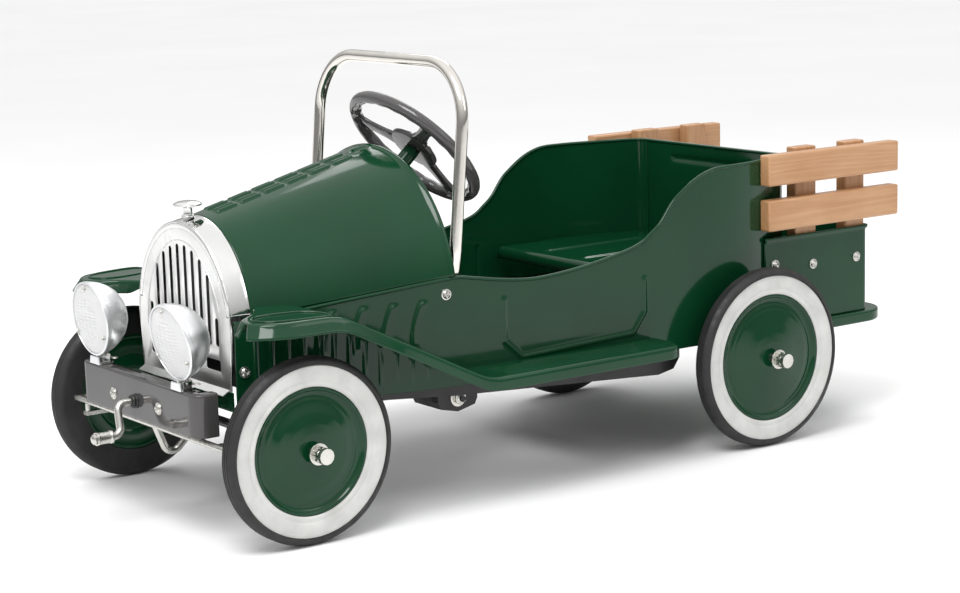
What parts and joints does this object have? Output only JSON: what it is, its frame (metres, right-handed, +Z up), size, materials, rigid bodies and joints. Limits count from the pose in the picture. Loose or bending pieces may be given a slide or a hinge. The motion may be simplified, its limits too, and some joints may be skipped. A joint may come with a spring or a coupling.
{
  "type": "pedal car",
  "caption": "Child's pedal car shaped like a vintage pick-up, with steering, chain drive, spinning wheels, tilting lamps and a timber-sided bed.",
  "frame": {"origin": "middle of the length and width, on the ground", "axes": "+Z up, -Y towards the front of the car, +X to the driver's left"},
  "size_m": [0.515, 1.154, 0.5372],
  "materials": {
    "green_enamel": "gloss enamel",
    "grey_enamel": "gloss enamel",
    "black_enamel": "satin enamel",
    "chrome": "polished",
    "plated_steel": "zinc plated",
    "rubber": "satin, with a white side band",
    "pine": "clear varnish",
    "lamp_lens": "ribbed"
  },
  "bodies": {
    "chassis": {"hood": "green_enamel", "front_valance": "green_enamel", "side_panel_left": "green_enamel", "side_panel_right": "green_enamel", "cab_back_panel": "green_enamel", "dash_panel": "green_enamel", "seat_pan": "green_enamel", "bed_box": "green_enamel", "bed_floor": "green_enamel", "fender_left": "green_enamel", "fender_right": "green_enamel", "grille_shell": "chrome", "grille_panel": "chrome", "radiator_cap": "chrome", "roll_bar": "chrome", "lamp_bracket_left": "chrome", "lamp_bracket_right": "chrome", "floor_pan": "black_enamel", "chassis_rail_left": "black_enamel", "chassis_rail_right": "black_enamel", "front_axle_beam": "black_enamel", "rear_axle_bracket_left": "black_enamel", "rear_axle_bracket_right": "black_enamel", "crank_hanger": "black_enamel", "steering_bearing": "black_enamel", "bumper_bracket_left": "black_enamel", "bumper_bracket_right": "black_enamel", "bumper": "grey_enamel", "drive_chain": "plated_steel", "stake_post_front_left": "pine", "stake_post_front_right": "pine", "stake_post_rear_left": "pine", "stake_post_rear_right": "pine", "plank_upper_left": "pine", "plank_upper_right": "pine", "plank_lower_left": "pine", "plank_lower_right": "pine"},
    "steering": {"steering_wheel": "grey_enamel", "steering_column": "plated_steel"},
    "tie_rod": {"tie_rod": "plated_steel"},
    "knuckle_left": {"knuckle_left": "plated_steel"},
    "knuckle_right": {"knuckle_right": "plated_steel"},
    "front_wheel_left": {"front_left_tyre": "rubber", "front_left_disc": "green_enamel"},
    "front_wheel_right": {"front_right_tyre": "rubber", "front_right_disc": "green_enamel"},
    "rear_axle": {"rear_axle": "plated_steel", "rear_left_tyre": "rubber", "rear_left_disc": "green_enamel", "rear_right_tyre": "rubber", "rear_right_disc": "green_enamel"},
    "pedal_crank": {"pedal_crank": "black_enamel"},
    "pedal_left": {"pedal_left": "black_enamel"},
    "pedal_right": {"pedal_right": "black_enamel"},
    "starter_crank": {"starter_crank": "plated_steel"},
    "starter_sleeve": {"starter_sleeve": "plated_steel"},
    "lamp_left": {"lamp_bowl_left": "chrome", "lamp_lens_left": "lamp_lens"},
    "lamp_right": {"lamp_bowl_right": "chrome", "lamp_lens_right": "lamp_lens"}
  },
  "joints": [
    {"name": "steering_turn", "type": "hinge", "parent": "chassis", "child": "steering", "pos_m": [0, -0.0984, 0.4153], "axis": [0, 0.7325, 0.6807], "range_deg": [-25, 25]},
    {"name": "tie_rod_slide", "type": "slide", "parent": "chassis", "child": "tie_rod", "axis": [1, 0, 0], "range_m": [-0.0225, 0.0225]},
    {"name": "knuckle_left_turn", "type": "hinge", "parent": "chassis", "child": "knuckle_left", "pos_m": [0.175, -0.4056, 0.11], "axis": [0, 0, 1], "range_deg": [-16, 16]},
    {"name": "front_wheel_left_spin", "type": "hinge", "parent": "knuckle_left", "child": "front_wheel_left", "pos_m": [0.217, -0.4056, 0.11], "axis": [1, 0, 0], "continuous": true},
    {"name": "pedal_left_spin", "type": "hinge", "parent": "pedal_crank", "child": "pedal_left", "pos_m": [0.09, -0.125, 0.113], "axis": [1, 0, 0], "continuous": true},
    {"name": "lamp_left_tilt", "type": "hinge", "parent": "chassis", "child": "lamp_left", "pos_m": [0.1025, -0.499, 0.184], "axis": [1, 0, 0], "range_deg": [-8, 8]},
    {"name": "knuckle_right_turn", "type": "hinge", "parent": "chassis", "child": "knuckle_right", "pos_m": [-0.175, -0.4056, 0.11], "axis": [0, 0, 1], "range_deg": [-16, 16]},
    {"name": "front_wheel_right_spin", "type": "hinge", "parent": "knuckle_right", "child": "front_wheel_right", "pos_m": [-0.217, -0.4056, 0.11], "axis": [1, 0, 0], "continuous": true},
    {"name": "pedal_right_spin", "type": "hinge", "parent": "pedal_crank", "child": "pedal_right", "pos_m": [-0.09, -0.125, 0.223], "axis": [1, 0, 0], "continuous": true},
    {"name": "lamp_right_tilt", "type": "hinge", "parent": "chassis", "child": "lamp_right", "pos_m": [-0.1025, -0.499, 0.184], "axis": [1, 0, 0], "range_deg": [-8, 8]},
    {"name": "rear_axle_spin", "type": "hinge", "parent": "chassis", "child": "rear_axle", "pos_m": [0, 0.3056, 0.1186], "axis": [1, 0, 0], "continuous": true},
    {"name": "pedal_crank_spin", "type": "hinge", "parent": "chassis", "child": "pedal_crank", "pos_m": [0, -0.125, 0.168], "axis": [1, 0, 0], "continuous": true},
    {"name": "starter_crank_turn", "type": "hinge", "parent": "chassis", "child": "starter_crank", "pos_m": [0, -0.51, 0.148], "axis": [0, 1, 0], "continuous": true},
    {"name": "starter_sleeve_spin", "type": "hinge", "parent": "starter_crank", "child": "starter_sleeve", "pos_m": [0.01265, -0.55, 0.11323], "axis": [0, 1, 0], "continuous": true}
  ],
  "couplings": [
    {"joint": "tie_rod_slide", "follows": "steering_turn", "m_per_rad": 0.0485},
    {"joint": "knuckle_left_turn", "follows": "steering_turn", "ratio": 0.58859},
    {"joint": "knuckle_right_turn", "follows": "steering_turn", "ratio": 0.58859},
    {"joint": "pedal_crank_spin", "follows": "rear_axle_spin", "ratio": 0.71429}
  ]
}
